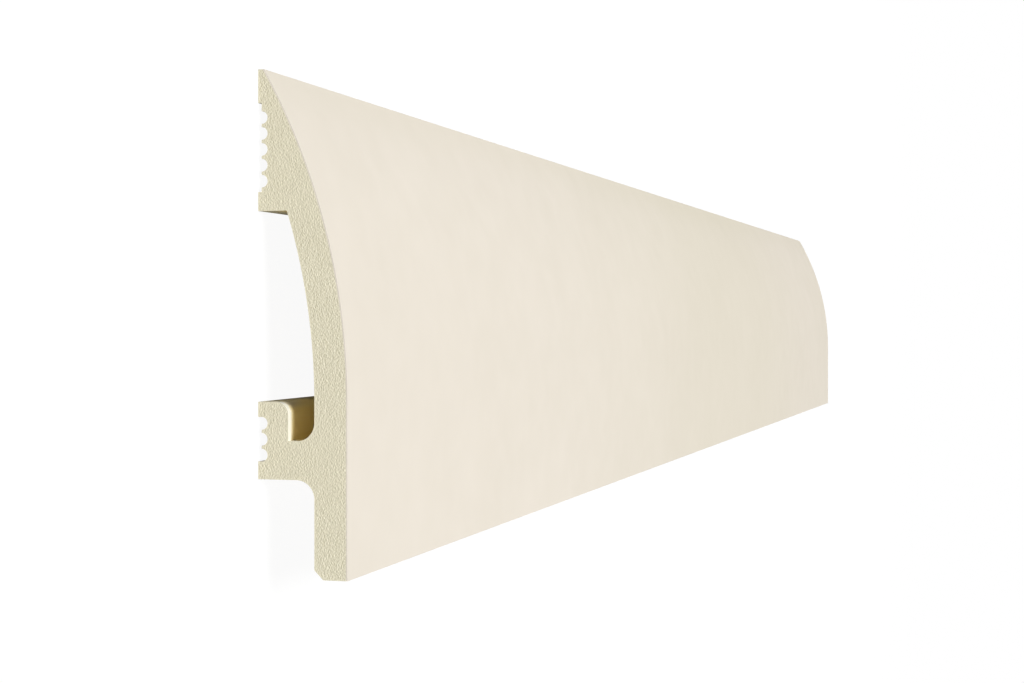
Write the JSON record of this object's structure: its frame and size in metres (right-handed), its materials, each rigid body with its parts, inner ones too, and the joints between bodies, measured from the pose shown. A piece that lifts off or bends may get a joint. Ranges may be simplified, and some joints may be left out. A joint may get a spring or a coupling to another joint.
{
  "type": "skirting board length",
  "caption": "Length of foam skirting board with a bowed face, grooved glue pads on the wall side, a cable channel and a ledge with a clip slot.",
  "frame": {"origin": "middle of the wall side, half way along the length and half way up the board", "axes": "+X along the length, +Y up the board from foot to top edge, +Z from the wall to the room; the board lies on its back"},
  "size_m": [0.65, 0.08, 0.015],
  "materials": {
    "primed_foam": "rigid extruded foam with a smooth cream primer on the face; cut ends and wall side bare"
  },
  "bodies": {
    "root": {"skirting_board": "primed_foam"}
  },
  "joints": []
}
